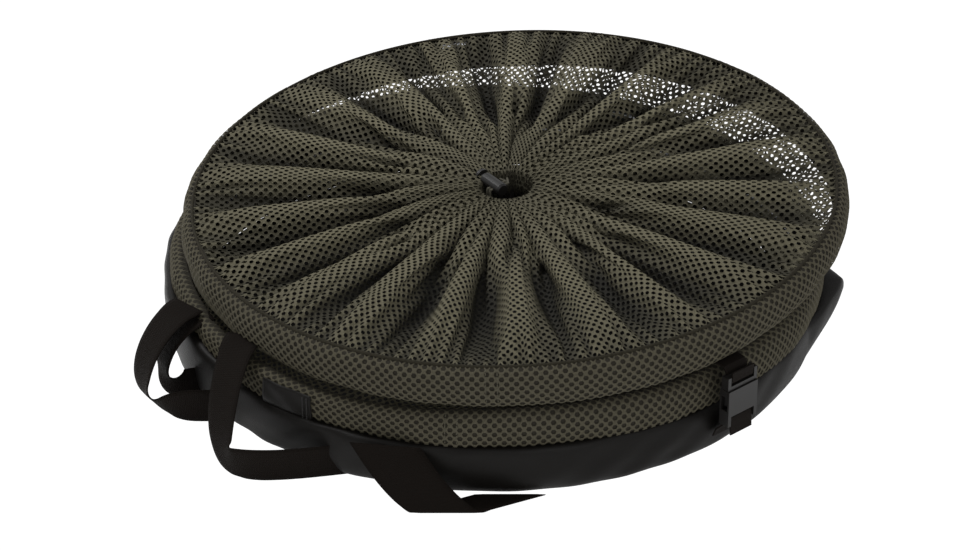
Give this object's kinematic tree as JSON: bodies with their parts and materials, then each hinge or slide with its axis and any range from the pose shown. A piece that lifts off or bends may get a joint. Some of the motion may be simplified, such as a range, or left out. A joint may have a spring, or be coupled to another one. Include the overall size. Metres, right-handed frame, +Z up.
{
  "type": "folding mesh enclosure",
  "caption": "Round pop-up mesh enclosure folded flat: spring hoops in fabric channels, drawcord lid, mesh walls, coated base, webbing loops and side-release buckles.",
  "frame": {"origin": "centre of the base underside, on the ground", "axes": "+Z up out of the folded stack; -Y towards the front loop; +X to the right"},
  "size_m": [0.6571, 0.6261, 0.1521],
  "materials": {
    "fab_mesh": "warp-knit polyester mesh, olive",
    "coated": "coated woven fabric, black, slight sheen",
    "webbing": "ribbed black webbing",
    "spring_steel": "bright spring wire",
    "black_plastic": "moulded, black",
    "cord": "braided cord, olive"
  },
  "bodies": {
    "base": {"base_floor": "coated", "base_wall": "coated", "base_hoop_wire": "spring_steel", "base_hoop_ferrule": "spring_steel", "lower_wall": "fab_mesh", "strap_outer_left": "webbing", "strap_inner_left": "webbing", "strap_front_left": "webbing", "strap_front": "webbing", "lower_strap_front": "webbing", "lower_strap_rear": "webbing", "buckle_front_female": "black_plastic", "buckle_rear_female": "black_plastic"},
    "middle": {"middle_rim_band": "fab_mesh", "middle_hoop_wire": "spring_steel", "middle_hoop_ferrule": "spring_steel", "band_patch": "coated"},
    "top": {"top_rim_band": "fab_mesh", "top_hoop_wire": "spring_steel", "top_hoop_ferrule": "spring_steel", "lid_mesh": "fab_mesh", "drawcord_channel": "fab_mesh", "drawcord": "cord", "upper_wall": "fab_mesh", "upper_strap_front": "webbing", "upper_strap_rear": "webbing", "buckle_front_male": "black_plastic", "buckle_rear_male": "black_plastic"},
    "lock": {"cord_lock_barrel": "black_plastic", "cord_lock_spring": "spring_steel"},
    "lock_button": {"cord_lock_plunger": "black_plastic"},
    "prong_front_left": {"buckle_front_prong_left": "black_plastic"},
    "prong_front_right": {"buckle_front_prong_right": "black_plastic"},
    "prong_rear_left": {"buckle_rear_prong_left": "black_plastic"},
    "prong_rear_right": {"buckle_rear_prong_right": "black_plastic"}
  },
  "joints": [
    {"name": "pop_up", "type": "slide", "parent": "base", "child": "top", "axis": [0, 0, 1], "range_m": [0, 0.36], "deforming": ["upper_wall"]},
    {"name": "middle_rise", "type": "slide", "parent": "base", "child": "middle", "axis": [0, 0, 1], "range_m": [0, 0.18], "deforming": ["lower_wall"]},
    {"name": "lock_slide", "type": "slide", "parent": "top", "child": "lock", "axis": [0.8151, 0.5767, 0.0554], "range_m": [-0.001, 0.004]},
    {"name": "lock_press", "type": "slide", "parent": "lock", "child": "lock_button", "axis": [0.5774, -0.8165, 0.0037], "range_m": [0, 0.0028], "stiffness_N_per_m": 400},
    {"name": "front_left_squeeze", "type": "hinge", "parent": "top", "child": "prong_front_left", "pos_m": [0.21645, -0.23452, 0.0775], "axis": [-0.6561, 0.7547, 0], "range_deg": [0, 8]},
    {"name": "front_right_squeeze", "type": "hinge", "parent": "top", "child": "prong_front_right", "pos_m": [0.20211, -0.24698, 0.0775], "axis": [0.6561, -0.7547, 0], "range_deg": [0, 8]},
    {"name": "rear_left_squeeze", "type": "hinge", "parent": "top", "child": "prong_rear_left", "pos_m": [-0.21645, 0.23452, 0.0775], "axis": [0.6561, -0.7547, 0], "range_deg": [0, 8]},
    {"name": "rear_right_squeeze", "type": "hinge", "parent": "top", "child": "prong_rear_right", "pos_m": [-0.20211, 0.24698, 0.0775], "axis": [-0.6561, 0.7547, 0], "range_deg": [0, 8]}
  ],
  "couplings": [
    {"joint": "middle_rise", "follows": "pop_up", "ratio": 0.5},
    {"joint": "front_right_squeeze", "follows": "front_left_squeeze", "ratio": 1},
    {"joint": "rear_right_squeeze", "follows": "rear_left_squeeze", "ratio": 1}
  ]
}
